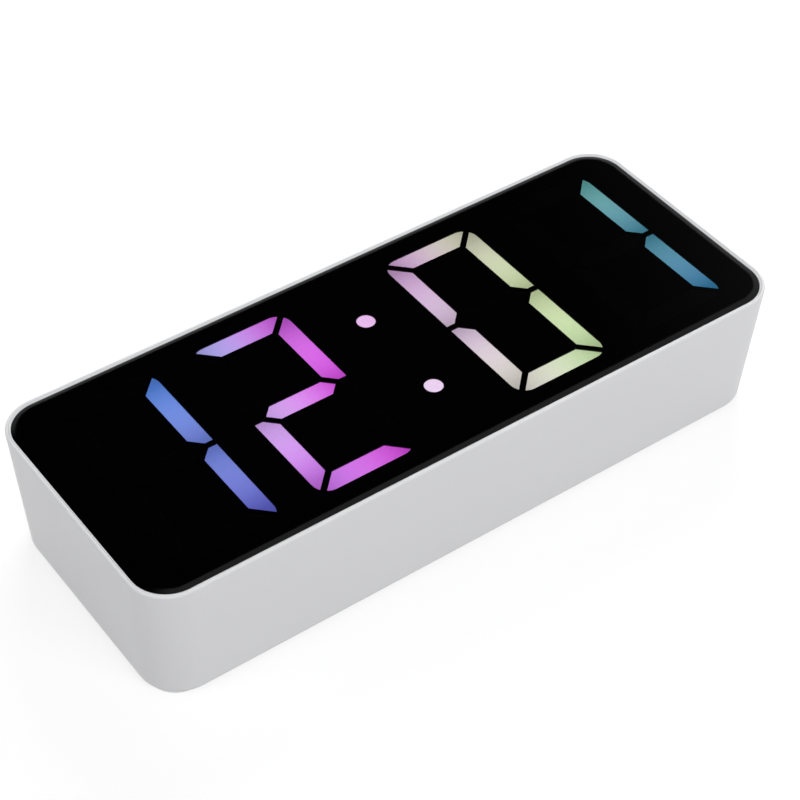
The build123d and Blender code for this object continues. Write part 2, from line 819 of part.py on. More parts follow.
# Each back button: a round cap with a flange that keeps it in, pushed over its switch's plunger
for name, x in button_places.items():
    with BuildPart() as button:
        with BuildSketch(Plane.XY.offset(button_shy)):
            with Locations((x, button_row_y)):
                Circle(button_radius)
        extrude(amount=flange_inner_z - button_shy)
        fillet(button.faces().sort_by(Axis.Z)[0].edges(), button_edge_radius)
        with BuildSketch(Plane.XY.offset(flange_outer_z)):
            with Locations((x, button_row_y)):
                Circle(button_flange_radius)
        extrude(amount=button_flange_thickness)
        with BuildSketch(Plane.XY.offset(flange_inner_z)):
            with Locations((x, button_row_y)):
                Circle(plunger_radius + plunger_gap)
        extrude(amount=-plunger_seat, mode=Mode.SUBTRACT)
    button.part.label = name + "_button"
    export_step(button.part, "parts/" + name + "_button.step")

    with BuildPart() as plunger:
        with BuildSketch(Plane.XY.offset(flange_inner_z - plunger_seat)):
            with Locations((x, button_row_y)):
                Circle(plunger_radius)
        extrude(amount=switch_face_z + plunger_entry - flange_inner_z + plunger_seat)
    plunger.part.label = name + "_plunger"
    export_step(plunger.part, "parts/" + name + "_plunger.step")

# Snooze key: a long bar in the top side, kept in by its flange and pushed over a plunger
with BuildPart() as snooze_key:
    with BuildSketch(Plane.XZ.offset(-snooze_outer_y)):
        with Locations((snooze_x, snooze_height)):
            RectangleRounded(snooze_length, snooze_width, snooze_corner)
    extrude(amount=snooze_outer_y - snooze_flange_y)
    fillet(snooze_key.faces().sort_by(Axis.Y)[-1].edges(), snooze_edge_radius)
    with BuildSketch(Plane.XZ.offset(-snooze_flange_y)):
        with Locations((snooze_x, snooze_height)):
            Rectangle(snooze_length + 2 * snooze_flange_border, snooze_flange_width)
    extrude(amount=snooze_flange_thickness)
    with BuildSketch(Plane.XZ.offset(-snooze_flange_y)):
        with Locations((snooze_x, snooze_height)):
            Circle(snooze_hub_radius)
    extrude(amount=snooze_flange_y - hub_end_y)
    with BuildSketch(Plane.XZ.offset(-hub_end_y)):
        with Locations((snooze_x, snooze_height)):
            Circle(plunger_radius + plunger_gap)
    extrude(amount=-snooze_hub_seat, mode=Mode.SUBTRACT)
snooze_key.part.label = "snooze_key"
export_step(snooze_key.part, "parts/snooze_key.step")

with BuildPart() as snooze_plunger:
    with BuildSketch(Plane.XZ.offset(-hub_end_y - snooze_hub_seat)):
        with Locations((snooze_x, snooze_height)):
            Circle(plunger_radius)
    extrude(amount=hub_end_y + snooze_hub_seat - main_board_top + plunger_entry)
snooze_plunger.part.label = "snooze_plunger"
export_step(snooze_plunger.part, "parts/snooze_plunger.step")

with BuildPart() as snooze_switch:
    with BuildSketch(Plane.XZ.offset(-main_board_top)):
        with Locations((snooze_x, snooze_height)):
            Rectangle(switch_size, switch_size)
    extrude(amount=switch_height)
    with BuildSketch(Plane.XZ.offset(-main_board_top)):
        with Locations((snooze_x, snooze_height)):
            Circle(plunger_radius + plunger_gap)
    extrude(amount=switch_bore_depth, mode=Mode.SUBTRACT)
snooze_switch.part.label = "snooze_switch"
export_step(snooze_switch.part, "parts/snooze_switch.step")

# Battery cells side by side, every other one turned end for end
cell_start = well_left + contact_thickness + spring_length
with BuildPart() as battery_cells:
    for y, turn in zip(cell_rows, cell_turns):
        flat_end = cell_start if turn > 0 else well_right - contact_thickness - spring_length
        with BuildSketch(Plane.YZ.offset(flat_end)):
            with Locations((y, cell_axis_z)):
                Circle(cell_radius)
        extrude(amount=turn * (cell_length - cell_nub_height))
        with BuildSketch(Plane.YZ.offset(flat_end)):
            with Locations((y, cell_axis_z)):
                Circle(cell_nub_radius)
        extrude(amount=turn * cell_length)
battery_cells.part.label = "battery_cells"
export_step(battery_cells.part, "parts/battery_cells.step")

# Contact plates at both ends of the well; each long one joins two cells, and one short one
# runs out through the wall to the main board
plate_ends = [
    (well_left, 1, [cell_rows[0]], cell_rows[1:]),
    (well_right, -1, [cell_rows[2]], cell_rows[:2]),
]
with BuildPart() as battery_contacts:
    for end, direction, single_rows, joined_rows in plate_ends:
        with BuildSketch(Plane.YZ.offset(end)):
            for y in single_rows:
                with Locations((y, cell_axis_z)):
                    Rectangle(contact_width, contact_width)
            with Locations((sum(joined_rows) / 2, cell_axis_z)):
                Rectangle(cell_pitch + contact_width, contact_width)
        extrude(amount=direction * contact_thickness)
    with BuildSketch(Plane.XY.offset(main_board_rise)):
        with Locations((well_right, -cell_pitch)):
            Rectangle(
                main_board_left + contact_tail_lap - well_right,
                contact_tail_width,
                align=(Align.MIN, Align.CENTER),
            )
    extrude(amount=-contact_thickness)
battery_contacts.part.label = "battery_contacts"
export_step(battery_contacts.part, "parts/battery_contacts.step")

# Coil springs between the contact plates and the cells' flat ends
with BuildPart() as battery_springs:
    for y, turn in zip(cell_rows, cell_turns):
        seat = well_left + contact_thickness if turn > 0 else well_right - contact_thickness
        with BuildLine():
            coil = Helix(
                (spring_length - 2 * spring_wire_radius) / spring_turns,
                spring_length - 2 * spring_wire_radius,
                spring_coil_radius,
                center=(seat + turn * spring_wire_radius, y, cell_axis_z),
                direction=(turn, 0, 0),
            )
        with BuildSketch(Plane(origin=coil @ 0, z_dir=coil % 0)):
            Circle(spring_wire_radius)
        sweep()
battery_springs.part.label = "battery_springs"
export_step(battery_springs.part, "parts/battery_springs.step")

# Lead from the far end of the well, out through its wall and over its roof to the main board
lead_far_x = well_left - well_wall - lead_out
lead_end_x = main_board_left + lead_end_inset
with BuildPart() as battery_lead:
    with BuildLine():
        route = FilletPolyline(
            (well_left, cell_pitch, cell_axis_z),
            (lead_far_x, cell_pitch, cell_axis_z),
            (lead_far_x, cell_pitch, lead_top_z),
            (lead_end_x, cell_pitch, lead_top_z),
            (lead_end_x, cell_pitch, main_board_front),
            radius=lead_bend,
        )
    with BuildSketch(Plane(origin=route @ 0, z_dir=route % 0)):
        Circle(lead_radius)
    sweep()
battery_lead.part.label = "battery_lead"
export_step(battery_lead.part, "parts/battery_lead.step")

# Battery door: a flush plate with two tabs at one end and a springy latch tongue at the other
rib_outer_length = well_length - 2 * door_ledge
rib_outer_height = well_height - 2 * door_ledge
with BuildPart() as battery_door:
    with BuildSketch(Plane.XY.offset(door_shy)):
        with Locations((door_left, 0)):
            Rectangle(door_right - door_left, door_height, align=(Align.MIN, Align.CENTER))
    extrude(amount=door_thickness)
    with BuildSketch(Plane.XY.offset(door_inner_z)):
        with Locations(((door_left + door_right) / 2, 0)):
            Rectangle(rib_outer_length, rib_outer_height)
            Rectangle(
                rib_outer_length - 2 * door_rib_width,
                rib_outer_height - 2 * door_rib_width,
                mode=Mode.SUBTRACT,
            )
    extrude(amount=door_rib_height)
    with BuildSketch(Plane.XY.offset(door_tab_rise)):
        for side in sides:
            with Locations((pocket_left - door_tab_reach, side * door_tab_spread / 2)):
                Rectangle(door_tab_reach + 2 * door_gap, door_tab_width, align=(Align.MIN, Align.CENTER))
    extrude(amount=door_tab_thickness)
    # Slits beside the latch tongue, and a notch in the ribs so that it can bend
    with BuildSketch(Plane.XY.offset(door_shy)):
        for side in sides:
            with Locations((door_right, side * (latch_width + latch_slit) / 2)):
                Rectangle(latch_length, latch_slit, align=(Align.MAX, Align.CENTER))
    extrude(amount=door_thickness + door_rib_height, mode=Mode.SUBTRACT)
    with BuildSketch(Plane.XY.offset(door_inner_z)):
        with Locations((door_right, 0)):
            Rectangle(latch_length, latch_width, align=(Align.MAX, Align.CENTER))
    extrude(amount=door_rib_height, mode=Mode.SUBTRACT)
    # Three grip grooves across the tongue's outer face
    with BuildSketch(Plane.XY.offset(door_shy)):
        with Locations((door_right - latch_length / 2, 0)):
            with GridLocations(grip_pitch, 0, grip_count, 1):
                Rectangle(grip_width, latch_width - 2 * latch_slit)
    extrude(amount=grip_depth, mode=Mode.SUBTRACT)
battery_door.part.label = "battery_door"
export_step(battery_door.part, "parts/battery_door.step")


def screw_solid(shank_radius, head_radius, head_height, length):
    """A round-headed screw with a cross recess, seated on the origin, its head towards +Z."""
    with BuildPart(mode=Mode.PRIVATE) as screw:
        with BuildSketch(Plane.XY.offset(-length)):
            Circle(shank_radius)
        extrude(amount=length)
        with BuildSketch(Plane.XY):
            Circle(head_radius)
        extrude(amount=head_height)
        fillet(screw.faces().sort_by(Axis.Z)[-1].edges(), head_height / 2)
        with BuildSketch(Plane.XY.offset(head_height)):
            Rectangle(head_radius, screw_slot_width)
            Rectangle(screw_slot_width, head_radius)
        extrude(amount=-screw_slot_depth, mode=Mode.SUBTRACT)
    return screw.part


housing_screw = screw_solid(screw_shank_radius, screw_head_radius, screw_head_height, screw_length)
board_screw = screw_solid(
    board_screw_shank_radius, board_screw_head_radius, board_screw_head_height, board_screw_length
)

with BuildPart() as housing_screws:
    for x, y in corner_posts:
        with Locations(Location((x, y, corner_post_height - post_seat), (180, 0, 0))):
            add(housing_screw)
housing_screws.part.label = "housing_screws"
export_step(housing_screws.part, "parts/housing_screws.step")

with BuildPart() as display_board_screws:
    for x, y in ear_posts:
        with Locations(Location((x, y, display_board_z), (180, 0, 0))):
            add(board_screw)
display_board_screws.part.label = "display_board_screws"
export_step(display_board_screws.part, "parts/display_board_screws.step")

with BuildPart() as main_board_screws:
    with Locations(*[(x, y, main_board_front) for x, y in board_posts]):
        add(board_screw)
main_board_screws.part.label = "main_board_screws"
export_step(main_board_screws.part, "parts/main_board_screws.step")
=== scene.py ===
# %% [markdown]
# A digital LED desk clock that lies on its back with its display up.
# The solid parts come ready-made as a fixed frame: every node already has its real shape,
# size and place in metres. This lesson adds what the solids lack: finishes, the glow of the
# digits, small moulded signs, light and a camera.
# The origin is the middle of the back face, +Z points out of the display,
# +X to the display's right and +Y to the top of its digits.

# %% Load the clock
import json
import math

import bmesh
import bpy
from mathutils import Matrix, Vector


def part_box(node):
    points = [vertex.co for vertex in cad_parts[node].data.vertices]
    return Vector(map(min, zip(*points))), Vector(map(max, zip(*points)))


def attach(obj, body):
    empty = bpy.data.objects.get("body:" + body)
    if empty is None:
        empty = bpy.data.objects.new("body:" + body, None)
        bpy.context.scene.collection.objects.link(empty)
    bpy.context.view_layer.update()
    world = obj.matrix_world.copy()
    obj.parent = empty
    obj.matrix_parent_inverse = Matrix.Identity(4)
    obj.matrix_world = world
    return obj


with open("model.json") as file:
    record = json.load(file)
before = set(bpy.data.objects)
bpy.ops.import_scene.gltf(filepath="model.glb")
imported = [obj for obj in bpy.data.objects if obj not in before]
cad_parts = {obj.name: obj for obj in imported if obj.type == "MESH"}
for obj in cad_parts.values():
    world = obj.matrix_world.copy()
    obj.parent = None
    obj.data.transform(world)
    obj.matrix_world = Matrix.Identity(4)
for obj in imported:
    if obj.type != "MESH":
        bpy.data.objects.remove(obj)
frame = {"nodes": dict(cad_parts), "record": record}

scene = bpy.context.scene
nodes = frame["nodes"]
mm = 0.001
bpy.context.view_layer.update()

# %% [markdown]
# The camera stands where the photographer stood: in front of the display's left end and above
# it, about 47 cm away, with a long lens. Its direction is set by an azimuth, an elevation and a
# small roll.
# It could also track an empty, but writing its own axes down keeps the roll exact. The
# standard view transform shows each colour as it is written.

# %% Camera
photo_width = 800
focal_length = 2194.8
sensor_width = 36.0
azimuth = math.radians(-36.598)
elevation = math.radians(43.903)
roll = math.radians(1.036)
aim = Vector((10.38 * mm, 13.47 * mm, 0))
distance = 465.46 * mm
nearest_seen = 10 * mm

back = Vector((
    math.sin(azimuth) * math.cos(elevation),
    -math.cos(azimuth) * math.cos(elevation),
    math.sin(elevation),
))
level = Vector((math.cos(azimuth), math.sin(azimuth), 0))
upward = back.cross(level)
right = level * math.cos(roll) + upward * math.sin(roll)
top = upward * math.cos(roll) - level * math.sin(roll)

camera = bpy.data.objects.new("camera", bpy.data.cameras.new("camera"))
scene.collection.objects.link(camera)
camera.data.sensor_width = sensor_width
camera.data.lens = focal_length / photo_width * sensor_width
camera.data.clip_start = nearest_seen
camera.location = aim + back * distance
camera.rotation_euler = Matrix((right, top, back)).transposed().to_euler()
scene.camera = camera
scene.view_settings.view_transform = "Standard"
print("lens", round(camera.data.lens, 1), "mm")

# %% [markdown]
# Every finish here is a tree of shader nodes. Trees are easier to read when one call places a
# node and wires it: an input that is a socket gets a link, and any other is a plain value.

# %% Helpers for node trees
def feed(tree, socket, value):
    """Links a socket to an output, or sets it to a plain value."""
    if isinstance(value, bpy.types.NodeSocket):
        tree.links.new(value, socket)
    else:
        socket.default_value = value


def place(tree, kind, inputs=None, **settings):
    """Adds a node of that kind, with its settings and inputs."""
    made = tree.nodes.new("ShaderNode" + kind)
    for name, value in settings.items():
        setattr(made, name, value)
    for name, value in (inputs or {}).items():
        feed(tree, made.inputs[name], value)
    return made


def count(tree, operation, first, second=0.0, third=0.0):
    """One step of arithmetic, as an output socket."""
    return place(tree, "Math", {0: first, 1: second, 2: third}, operation=operation).outputs[0]


def spread(tree, value, low, high, to_low=0.0, to_high=1.0):
    """Maps a value from one range to another, clamped and eased."""
    ends = {"From Min": low, "From Max": high, "To Min": to_low, "To Max": to_high}
    made = place(tree, "MapRange", {"Value": value, **ends}, interpolation_type="SMOOTHSTEP")
    return made.outputs["Result"]


def blend(tree, share, first, second):
    """Mixes two colours, as an output socket."""
    # A mixing node has sockets for every kind of value, and those of the colours are 6, 7 and 2
    made = place(tree, "Mix", data_type="RGBA")
    feed(tree, made.inputs[0], share)
    feed(tree, made.inputs[6], first)
    feed(tree, made.inputs[7], second)
    return made.outputs[2]


def scale(tree, colour, factor):
    """A colour times a number, as an output socket."""
    return place(tree, "VectorMath", {0: colour, "Scale": factor}, operation="SCALE").outputs[0]


def axis_part(tree, vector, axis):
    """One coordinate of a vector, as an output socket."""
    return place(tree, "SeparateXYZ", {0: vector}).outputs[axis]


print("helpers:", [helper.__name__ for helper in (feed, place, count, spread, blend, scale, axis_part)])

# %% [markdown]
# Colours are written as the 0 to 255 numbers that an image editor shows, and turned into the
# linear numbers that shaders use. An effect that several finishes share is a node group with
# named sockets, built once. Each finish is kept under the name of the slot that it fills.

# %% Helpers for colours, groups and finishes
finishes = {}
top_value = 255


def paint(red, green, blue):
    """A linear colour from the three numbers that an image editor shows."""
    linear = []
    for value in (red / top_value, green / top_value, blue / top_value):
        # The curve of the sRGB standard: a straight foot, and a power above it
        linear.append(value / 12.92 if value <= 0.04045 else ((value + 0.055) / 1.055) ** 2.4)
    return (*linear, 1.0)


def new_group(name, inputs, outputs):
    """An empty shader node group, the sockets that bring its inputs and those that take its results."""
    group = bpy.data.node_groups.new(name, "ShaderNodeTree")
    for label, value in inputs.items():
        kind = "NodeSocketColor" if isinstance(value, tuple) else "NodeSocketFloat"
        socket = group.interface.new_socket(label, in_out="INPUT", socket_type=kind)
        socket.default_value = value
    for label, kind in outputs.items():
        group.interface.new_socket(label, in_out="OUTPUT", socket_type="NodeSocket" + kind)
    entry = group.nodes.new("NodeGroupInput")
    result = group.nodes.new("NodeGroupOutput")
    return group, entry.outputs, result.inputs


def use_group(tree, group, inputs=None):
    """Places a group in a material, with that material's own values."""
    made = tree.nodes.new("ShaderNodeGroup")
    made.node_tree = group
    for name, value in (inputs or {}).items():
        feed(tree, made.inputs[name], value)
    return made.outputs


def new_finish(name):
    """A new material under its slot's name, as its node tree and its Principled shader."""
    finishes[name] = bpy.data.materials.new(name)
    finishes[name].use_nodes = True
    tree = finishes[name].node_tree
    return tree, tree.nodes["Principled BSDF"]


def raise_surface(tree, shader, height, depth):
    """Gives a shader a relief of that depth in metres."""
    bump = place(tree, "Bump", {"Height": height, "Distance": depth, "Strength": 1.0})
    feed(tree, shader.inputs["Normal"], bump.outputs["Normal"])


print("128 in an image editor is", round(paint(128, 128, 128)[0], 3), "in linear light")

# %% [markdown]
# Moulded plastic isn't smooth. The steel mould is spark-eroded, which leaves a fine pebble
# texture, and the colour and gloss drift a little over the width of a hand. Noise in real
# sizes gives both. Object coordinates are used because the nodes have no unwrapped images,
# and because they stay with a piece when it moves.

# %% Group: moulded grain
noise_low = 0.3
noise_high = 0.7
pebble_share = 0.5
drift_reach = 0.5


def make_moulded_grain():
    group, given, result = new_group(
        "moulded_grain",
        {"Pitch": 0.3 * mm, "Patch": 25 * mm},
        {"Height": "Float", "Tone": "Float", "Gloss": "Float"},
    )
    position = place(group, "TexCoord").outputs["Object"]
    fine_scale = count(group, "DIVIDE", 1.0, given["Pitch"])
    patch_scale = count(group, "DIVIDE", 1.0, given["Patch"])
    fine = place(group, "TexNoise", {"Vector": position, "Scale": fine_scale, "Detail": 2.0}).outputs["Fac"]
    pebbles = place(group, "TexVoronoi", {"Vector": position, "Scale": fine_scale}, feature="SMOOTH_F1")
    drift = place(group, "TexNoise", {"Vector": position, "Scale": patch_scale, "Detail": 2.0}).outputs["Fac"]
    height = count(group, "MULTIPLY_ADD", pebbles.outputs["Distance"], pebble_share, fine)
    feed(group, result["Height"], height)
    speck = spread(group, fine, noise_low, noise_high, -drift_reach, drift_reach)
    wave = spread(group, drift, noise_low, noise_high, -drift_reach, drift_reach)
    feed(group, result["Tone"], count(group, "ADD", speck, wave))
    feed(group, result["Gloss"], wave)
    return group


moulded_grain = make_moulded_grain()
print("group", moulded_grain.name, "with", len(moulded_grain.nodes), "nodes")

# %% [markdown]
# Hands and desks polish edges first. A bevelled normal differs from the true normal only
# near an edge, so their difference is a mask of the edges, and noise breaks it up.
# Pointiness would be quicker, but it needs a dense mesh, and these flat faces have few points.

# %% Group: edge wear
flat_likeness = 0.995
edge_likeness = 0.85
wear_patch = 4 * mm
wear_start = 0.42
wear_full = 0.62


def make_edge_wear():
    group, given, result = new_group("edge_wear", {"Radius": 0.4 * mm}, {"Mask": "Float"})
    rounded = place(group, "Bevel", {"Radius": given["Radius"]}, samples=4).outputs["Normal"]
    true_normal = place(group, "NewGeometry").outputs["Normal"]
    compared = place(group, "VectorMath", {0: rounded, 1: true_normal}, operation="DOT_PRODUCT")
    edge = spread(group, compared.outputs["Value"], flat_likeness, edge_likeness)
    position = place(group, "TexCoord").outputs["Object"]
    patches = place(group, "TexNoise", {"Vector": position, "Scale": 1 / wear_patch, "Detail": 3.0})
    broken = spread(group, patches.outputs["Fac"], wear_start, wear_full)
    feed(group, result["Mask"], count(group, "MULTIPLY", edge, broken))
    return group


edge_wear = make_edge_wear()
print("group", edge_wear.name, "with", len(edge_wear.nodes), "nodes")

# %% [markdown]
# A clock gathers a little dust on what faces up, in specks rather than in an even film. Each
# cell of a Voronoi pattern holds one speck, and a slow noise decides how large it is.

# %% Group: dust
speck_spacing = 2.2 * mm
speck_radius = 0.09
dust_patch = 5 * mm
haze_patch = 12 * mm
haze_share = 0.4
dust_start = 0.45
dust_full = 0.8
steep_face = 0.2
level_face = 0.95


def make_dust():
    group, given, result = new_group("dust", {"Amount": 0.1}, {"Mask": "Float"})
    coordinates = place(group, "TexCoord").outputs
    position = coordinates["Object"]
    upper = spread(group, axis_part(group, coordinates["Normal"], "Z"), steep_face, level_face)
    specks = place(group, "TexVoronoi", {"Vector": position, "Scale": 1 / speck_spacing})
    size = place(group, "TexNoise", {"Vector": position, "Scale": 1 / dust_patch})
    reach = spread(group, size.outputs["Fac"], dust_start, dust_full, 0.0, speck_radius)
    dot = spread(group, specks.outputs["Distance"], reach, 0.0)
    film = place(group, "TexNoise", {"Vector": position, "Scale": 1 / haze_patch, "Detail": 4.0})
    haze = spread(group, film.outputs["Fac"], dust_start, dust_full, 0.0, haze_share)
    lying = count(group, "MULTIPLY", count(group, "MAXIMUM", dot, haze), upper)
    feed(group, result["Mask"], count(group, "MULTIPLY", lying, given["Amount"]))
    return group


dust = make_dust()
print("group", dust.name, "with", len(dust.nodes), "nodes")

# %% [markdown]
# The case, the keys, the boards' sockets and the films are all plastics with one recipe: a
# colour that drifts slightly, a pebbled relief, worn edges that are a little glossier and paler,
# and a trace of dust. Only the numbers differ, so one function makes them all.

# %% Plastics
worn_plastic = paint(246, 246, 244)
dust_grey = paint(190, 186, 178)
gloss_drift = 0.08
wear_polish = 0.1


def make_plastic(name, colour, roughness, pitch=0.3 * mm, depth=0.004 * mm, tone=0.03, wear=0.3, dusty=0.05):
    tree, shader = new_finish(name)
    grain = use_group(tree, moulded_grain, {"Pitch": pitch})
    edges = use_group(tree, edge_wear)["Mask"]
    powder = use_group(tree, dust, {"Amount": dusty})["Mask"]
    toned = scale(tree, colour[:3], count(tree, "MULTIPLY_ADD", grain["Tone"], tone, 1.0))
    worn = blend(tree, count(tree, "MULTIPLY", edges, wear), toned, worn_plastic)
    feed(tree, shader.inputs["Base Color"], blend(tree, powder, worn, dust_grey))
    rough = count(tree, "MULTIPLY_ADD", grain["Gloss"], gloss_drift, roughness)
    polished = count(tree, "MULTIPLY_ADD", edges, -wear_polish * wear, rough)
    feed(tree, shader.inputs["Roughness"], count(tree, "ADD", polished, powder))
    raise_surface(tree, shader, grain["Height"], depth)


make_plastic("case_white", paint(231, 231, 233), 0.42, depth=0.003 * mm, tone=0.015, dusty=0.02)
make_plastic("frame_white", paint(226, 227, 229), 0.36, depth=0.001 * mm, tone=0.012)
make_plastic("key_white", paint(222, 223, 225), 0.38, depth=0.002 * mm, tone=0.015, wear=0.6)
make_plastic("reflector_white", paint(238, 238, 234), 0.55)
make_plastic("film_black", paint(9, 9, 10), 0.6, pitch=0.12 * mm, wear=0.0, dusty=0.0)
make_plastic("tape_black", paint(20, 20, 20), 0.85, pitch=0.2 * mm, depth=0.03 * mm, wear=0.0)
# The unlit segment plugs are painted near-black: this is painted shade for the dark inside of the clock,
# where a milky plug would otherwise show through the window.
make_plastic("segment_dark", paint(10, 10, 11), 0.6, wear=0.0, dusty=0.0)
make_plastic("chip_black", paint(34, 34, 36), 0.5, pitch=0.1 * mm, wear=0.05)
make_plastic("socket_black", paint(38, 38, 39), 0.45, pitch=0.2 * mm, wear=0.05)
make_plastic("lead_black", paint(28, 28, 29), 0.5, pitch=0.6 * mm, depth=0.01 * mm, wear=0.0)
print("plastics", sorted(finishes))

# %% [markdown]
# The metal parts are stamped, drawn or turned, and plated. Drawing and brushing leave fine
# lines along one direction: noise that is squeezed across that direction gives them. A slower
# noise says where the plating has dulled.

# %% Group: drawn lines
tarnish_patch = 6 * mm
tarnish_start = 0.35


def make_drawn_lines():
    group, given, result = new_group(
        "drawn_lines",
        {"Pitch": 0.15 * mm, "Stretch": 30.0},
        {"Height": "Float", "Tone": "Float"},
    )
    position = place(group, "TexCoord").outputs["Object"]
    across = count(group, "DIVIDE", 1.0, given["Pitch"])
    along = count(group, "DIVIDE", across, given["Stretch"])
    squeeze = place(group, "CombineXYZ", {"X": along, "Y": across, "Z": across}).outputs[0]
    stretched = place(group, "VectorMath", {0: position, 1: squeeze}, operation="MULTIPLY").outputs[0]
    lines = place(group, "TexNoise", {"Vector": stretched, "Scale": 1.0, "Detail": 2.0})
    tarnish = place(group, "TexNoise", {"Vector": position, "Scale": 1 / tarnish_patch, "Detail": 4.0})
    feed(group, result["Height"], lines.outputs["Fac"])
    feed(group, result["Tone"], spread(group, tarnish.outputs["Fac"], tarnish_start, noise_high))
    return group


drawn_lines = make_drawn_lines()
print("group", drawn_lines.name, "with", len(drawn_lines.nodes), "nodes")

# %% [markdown]
# Five metals share one recipe too: the plating's colour dulls towards its tarnish in patches,
# edges shine through, and the drawn lines roughen it. Full metallic is what makes the base
# colour tint the reflections, as real metal does.

# %% Metals
bright_metal = paint(235, 235, 232)
tarnish_share = 0.35
metal_edge_share = 0.4
metal_gloss_drift = 0.12
line_depth = 0.002 * mm


def make_metal(name, colour, tarnished, roughness):
    tree, shader = new_finish(name)
    lines = use_group(tree, drawn_lines)
    edges = use_group(tree, edge_wear, {"Radius": 0.15 * mm})["Mask"]
    aged = blend(tree, count(tree, "MULTIPLY", lines["Tone"], tarnish_share), colour, tarnished)
    bare = blend(tree, count(tree, "MULTIPLY", edges, metal_edge_share), aged, bright_metal)
    feed(tree, shader.inputs["Base Color"], bare)
    dulled = count(tree, "MULTIPLY_ADD", lines["Tone"], metal_gloss_drift, roughness)
    feed(tree, shader.inputs["Roughness"], dulled)
    shader.inputs["Metallic"].default_value = 1.0
    raise_surface(tree, shader, lines["Height"], line_depth)


make_metal("metal_nickel", paint(205, 203, 196), paint(168, 160, 145), 0.28)
make_metal("can_aluminium", paint(222, 223, 226), paint(190, 190, 192), 0.3)
make_metal("pin_brass", paint(222, 190, 110), paint(176, 140, 80), 0.25)
make_metal("screw_steel", paint(178, 178, 182), paint(140, 138, 132), 0.32)
make_metal("spring_steel", paint(196, 196, 196), paint(150, 148, 142), 0.3)
print("finishes so far", len(finishes))

# %% [markdown]
# The window is one sheet of smoke-tinted acrylic, polished and bevelled at its edge. It is
# real glass to the renderer: full transmission, the refractive index of acrylic, and a dark
# base colour for the tint. A black mirror would be quicker, but then the digits would lie on
# the window instead of behind it.

# %% Window
window_tint = (0.16, 0.16, 0.165, 1.0)
acrylic_index = 1.49
window_roughness = 0.02
window_gloss_drift = 0.01


def make_window():
    tree, shader = new_finish("window_smoke")
    grain = use_group(tree, moulded_grain, {"Pitch": 1.5 * mm, "Patch": 30 * mm})
    rough = count(tree, "MULTIPLY_ADD", grain["Gloss"], window_gloss_drift, window_roughness)
    feed(tree, shader.inputs["Roughness"], rough)
    shader.inputs["Base Color"].default_value = window_tint
    shader.inputs["Transmission Weight"].default_value = 1.0
    shader.inputs["IOR"].default_value = acrylic_index


make_window()
print("window tint", window_tint[:3])

# %% [markdown]
# Each segment is a plug of milky plastic over a light well with two lamps. Its colour runs
# across the digit, and its light falls off from the middle of the segment to its ends.
# The colour is a mix of six: the digit's left and right side, at its top, middle and bottom.
# The fall-off needs no image either: it is the distance to the nearest middle of a segment,
# found by folding the digit over its own lines of symmetry.

# %% Group: segment glow
digit_width = 22.3 * mm
digit_height = 46.8 * mm
stroke = 4.3 * mm
powder_size = 0.35 * mm
powder_share = 0.06
upright_x = digit_width / 2 - stroke / 2
level_y = digit_height / 2 - stroke / 2
rows = ["Top", "Middle", "Bottom"]


def squared_length(group, first, second):
    first_square = count(group, "MULTIPLY", first, first)
    return count(group, "MULTIPLY_ADD", second, second, first_square)


def make_segment_glow():
    white = (1.0, 1.0, 1.0, 1.0)
    values = {"Centre": 0.0, "Fall": 0.27, "Core": 0.045}
    values.update({side + " " + row: white for row in rows for side in ("Left", "Right")})
    group, given, result = new_group("segment_glow", values, {"Color": "Color"})
    position = place(group, "TexCoord").outputs["Object"]
    parts = place(group, "SeparateXYZ", {0: position}).outputs
    across = count(group, "SUBTRACT", parts["X"], given["Centre"])
    share = spread(group, across, -upright_x, upright_x)
    tops, middles, bottoms = [
        blend(group, share, given["Left " + row], given["Right " + row]) for row in rows
    ]
    upper = spread(group, parts["Y"], 0.0, level_y)
    lower = spread(group, parts["Y"], 0.0, -level_y)
    colour = blend(group, lower, blend(group, upper, middles, tops), bottoms)
    # Squared distance to the middle of the nearest level and upright segment, as a share of its reach
    height = count(group, "ABSOLUTE", parts["Y"])
    side = count(group, "ABSOLUTE", across)
    outer_level = count(group, "ABSOLUTE", count(group, "SUBTRACT", height, level_y))
    to_level = count(group, "MINIMUM", height, outer_level)
    to_upright = count(group, "SUBTRACT", height, level_y / 2)
    from_level = squared_length(group, side, to_level)
    from_upright = squared_length(group, count(group, "SUBTRACT", side, upright_x), to_upright)
    far = count(group, "DIVIDE", count(group, "MINIMUM", from_level, from_upright), upright_x ** 2)
    # Fine specks of the light-scattering powder in the plastic
    powder = place(group, "TexNoise", {"Vector": position, "Scale": 1 / powder_size, "Detail": 2.0})
    speck = spread(group, powder.outputs["Fac"], noise_low, noise_high, -powder_share, powder_share)
    bright = count(group, "SUBTRACT", 1.0, count(group, "MULTIPLY", far, given["Fall"]))
    lit = scale(group, colour, count(group, "ADD", bright, speck))
    near = count(group, "MAXIMUM", count(group, "SUBTRACT", 1.0, far), 0.0)
    core = count(group, "MULTIPLY", near, given["Core"])
    feed(group, result["Color"], place(group, "VectorMath", {0: lit, 1: core}, operation="ADD").outputs[0])
    return group


segment_glow = make_segment_glow()
print("group", segment_glow.name, "with", len(segment_glow.nodes), "nodes")

# %% [markdown]
# The four digits shine in their own colours, from blue over magenta to lime and teal. A plug
# gives off light of its own, seen through the dark window, so its strength makes up for the
# tint. Where a digit is one colour from left to right, one colour a row is enough.

# %% Lit segments
lamp_strength = 6.9
unlit_share = 0.2
plug_roughness = 0.5
digit_pitch = 30.75 * mm
colon_pitch = 46.7 * mm


